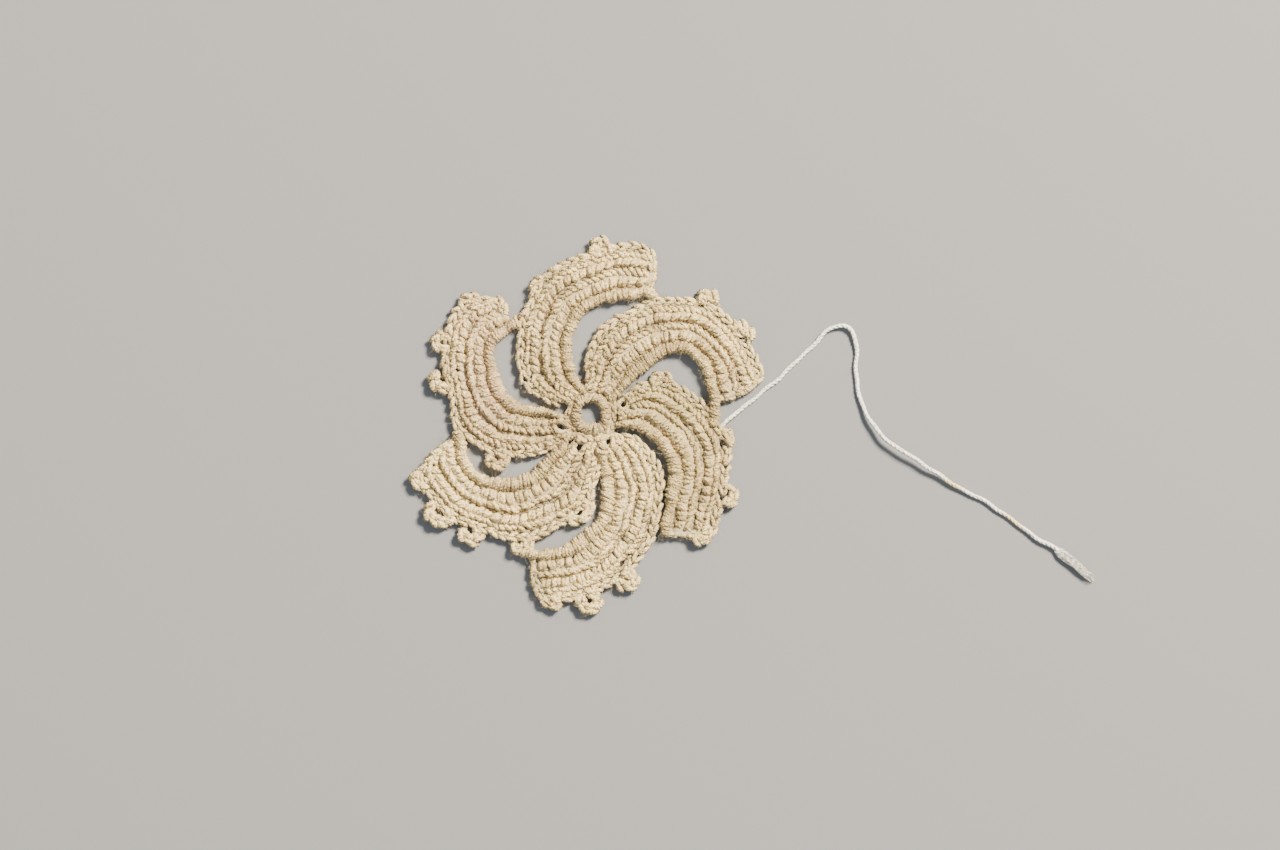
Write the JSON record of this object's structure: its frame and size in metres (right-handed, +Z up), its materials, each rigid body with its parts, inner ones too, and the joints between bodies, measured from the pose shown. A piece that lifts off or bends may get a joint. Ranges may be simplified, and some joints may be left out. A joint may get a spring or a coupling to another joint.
{
  "type": "lace sample",
  "caption": "Flat crocheted lace sample: curved padded blades turning around a small ring, with picots on their rims and a loose thread end.",
  "frame": {"origin": "on the underside, under the middle of the crocheted motif's outline, the loose thread left out of it", "axes": "+Z up, through the thickness of the work; +Y along the motif's longer side, towards the blade at the top; +X to the right seen from above, the side where the loose thread lies"},
  "size_m": [0.0892, 0.0496, 0.0018],
  "materials": {
    "crocheted_cotton": "matt plied cotton thread, cream to pale ochre",
    "loose_thread": "matt plied cotton thread, off-white"
  },
  "bodies": {
    "root": {"motif": "crocheted_cotton", "thread_tail": "loose_thread"}
  },
  "joints": []
}
